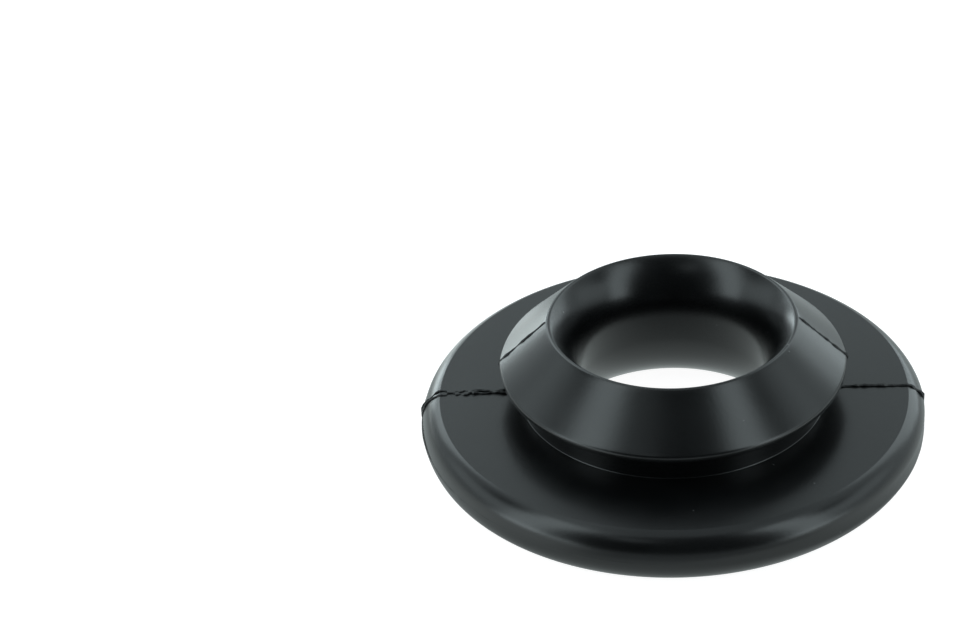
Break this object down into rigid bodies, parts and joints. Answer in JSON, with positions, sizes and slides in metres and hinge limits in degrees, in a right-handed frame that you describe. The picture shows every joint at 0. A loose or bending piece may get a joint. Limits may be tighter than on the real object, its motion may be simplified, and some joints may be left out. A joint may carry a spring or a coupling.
{
  "type": "rubber bushing",
  "caption": "Round snap-in rubber bushing with a flange, a panel groove, a tapered barb and a waisted bore.",
  "frame": {"origin": "centre of the bore in the plane of the flange's front face", "axes": "+Z along the bore's axis, from the flange's front face towards the barb's nose; X and Y lie in the front face"},
  "size_m": [0.0482, 0.0482, 0.0135],
  "materials": {
    "rubber": "satin black moulded rubber"
  },
  "bodies": {
    "root": {"bushing": "rubber"}
  },
  "joints": []
}
